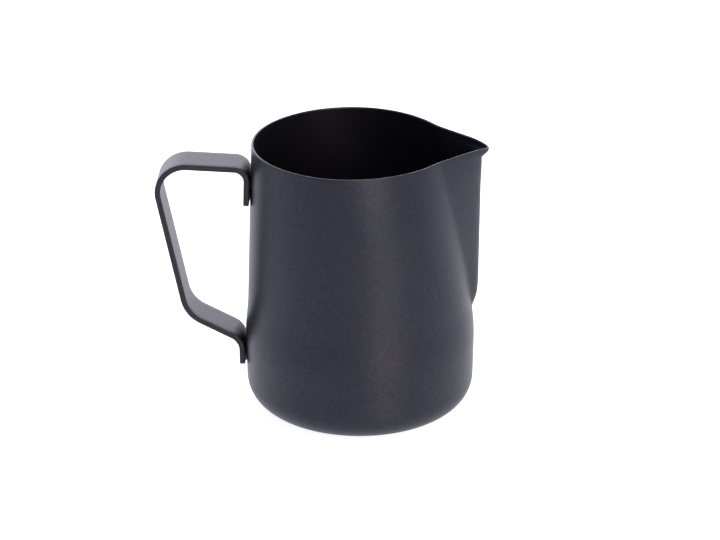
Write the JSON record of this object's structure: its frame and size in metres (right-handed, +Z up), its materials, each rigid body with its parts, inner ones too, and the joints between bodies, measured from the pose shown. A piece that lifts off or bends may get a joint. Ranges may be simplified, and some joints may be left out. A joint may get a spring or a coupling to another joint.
{
  "type": "milk frothing pitcher",
  "caption": "Open steel jug for steaming and pouring milk, with a pressed V spout and a spot-welded bent strap handle, in a dark satin coating.",
  "frame": {"origin": "centre of the flat base, on the jug's axis, at the plane it stands on", "axes": "+Z up along the jug's axis, +X toward the pouring spout, -X toward the handle, Y across"},
  "size_m": [0.1294, 0.0912, 0.1086],
  "materials": {
    "body_coat": "satin dark anthracite coating with a faint blue-violet tint, inside and outside",
    "handle_coat": "the same satin anthracite coating on the bent strap",
    "weld_steel": "fused steel between the sheets, hidden in use"
  },
  "bodies": {
    "root": {"body_shell": "body_coat", "handle_strap": "handle_coat", "upper_weld_nuggets": "weld_steel", "lower_weld_nuggets": "weld_steel"}
  },
  "joints": []
}
